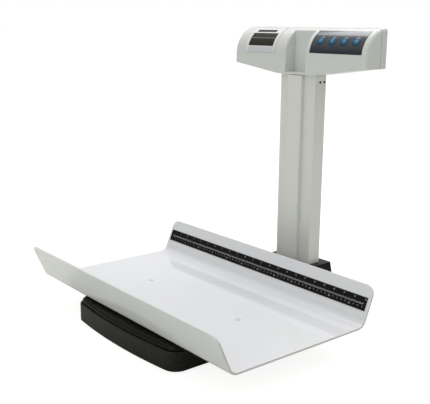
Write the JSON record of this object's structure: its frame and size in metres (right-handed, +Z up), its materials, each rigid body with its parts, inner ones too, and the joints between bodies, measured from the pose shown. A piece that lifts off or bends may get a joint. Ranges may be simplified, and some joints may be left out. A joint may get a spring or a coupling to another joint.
{
  "type": "digital baby weighing scale",
  "caption": "Baby weighing scale: long open tray with a printed ruler on a load-cell platform, low black base, rear column and T-shaped head with display and push keys.",
  "frame": {"origin": "on the floor, in the middle of the space that the whole scale takes", "axes": "+X along the tray to the right as the user faces the display, +Y from the user to the column, +Z up"},
  "size_m": [0.61, 0.5261, 0.578],
  "materials": {
    "tray_white": "white moulded plastic, light sheen",
    "ruler_black": "black printed strip",
    "soft_rubber": "dull rubber",
    "fastener_steel": "zinc plated",
    "dark_screw": "blackened",
    "frame_steel": "zinc plated sheet",
    "base_black": "fine-textured black plastic",
    "cell_aluminium": "machined",
    "column_grey": "light grey powder coat",
    "head_grey": "light grey fine-textured plastic",
    "window_glass": "clear window",
    "indicator_dark": "smoked window",
    "bezel_pale": "pale glossy overlay",
    "display_green": "unlit display glass",
    "keypad_dark": "dark blue-black gloss",
    "board_green": "solder-masked board",
    "key_blue": "blue moulded key",
    "battery_jacket": "plain jacket",
    "lead_grey": "soft jacket"
  },
  "bodies": {
    "stand": {"base_housing": "base_black", "base_plate": "frame_steel", "base_screws": "fastener_steel", "boot_screws": "fastener_steel", "foot_front_left": "soft_rubber", "foot_front_right": "soft_rubber", "foot_back_left": "soft_rubber", "foot_back_right": "soft_rubber", "foot_arm_left": "soft_rubber", "foot_arm_right": "soft_rubber", "load_cell_fixed_half": "cell_aluminium", "lower_spacer": "frame_steel", "load_cell_screws": "fastener_steel", "overload_stops": "frame_steel", "column_boot": "base_black", "column_bracket": "frame_steel", "bracket_screws": "fastener_steel", "column_profile": "column_grey", "column_lower_screws": "fastener_steel", "column_side_screws": "dark_screw", "column_front_strip": "column_grey", "neck_bracket": "frame_steel", "neck_screws": "fastener_steel", "head_front_shell": "head_grey", "head_rear_cover": "head_grey", "rear_cover_screws": "dark_screw", "display_window": "window_glass", "indicator_window": "indicator_dark", "display_bezel": "bezel_pale", "display_module": "display_green", "keypad_panel": "keypad_dark", "keypad_board": "board_green", "main_board": "board_green", "amplifier_board": "board_green", "battery_box": "base_black", "batteries": "battery_jacket", "power_jack": "base_black", "signal_lead": "lead_grey"},
    "platform": {"tray": "tray_white", "ruler_strip": "ruler_black", "tray_pads": "soft_rubber", "tray_screws": "fastener_steel", "load_cell_free_half": "cell_aluminium", "upper_spacer": "frame_steel", "platform_screws": "fastener_steel", "platform_spider": "frame_steel", "platform_cover": "base_black"},
    "power_key": {"power_button": "key_blue"},
    "zero_key": {"zero_button": "key_blue"},
    "hold_key": {"hold_button": "key_blue"},
    "unit_key": {"unit_button": "key_blue"},
    "battery_lid": {"battery_door": "head_grey"}
  },
  "joints": [
    {"name": "platform_deflection", "type": "slide", "parent": "stand", "child": "platform", "axis": [0, 0, 1], "range_m": [-0.0006, 0], "stiffness_N_per_m": 500000, "springref_m": 0.0001},
    {"name": "power_press", "type": "slide", "parent": "stand", "child": "power_key", "axis": [0, 0.8358, -0.549], "range_m": [0, 0.0007], "stiffness_N_per_m": 1500, "springref_m": -0.0005},
    {"name": "zero_press", "type": "slide", "parent": "stand", "child": "zero_key", "axis": [0, 0.8358, -0.549], "range_m": [0, 0.0007], "stiffness_N_per_m": 1500, "springref_m": -0.0005},
    {"name": "hold_press", "type": "slide", "parent": "stand", "child": "hold_key", "axis": [0, 0.8358, -0.549], "range_m": [0, 0.0007], "stiffness_N_per_m": 1500, "springref_m": -0.0005},
    {"name": "unit_press", "type": "slide", "parent": "stand", "child": "unit_key", "axis": [0, 0.8358, -0.549], "range_m": [0, 0.0007], "stiffness_N_per_m": 1500, "springref_m": -0.0005},
    {"name": "battery_lid_off", "type": "slide", "parent": "stand", "child": "battery_lid", "axis": [0, 1, 0], "range_m": [0, 0.03]}
  ]
}
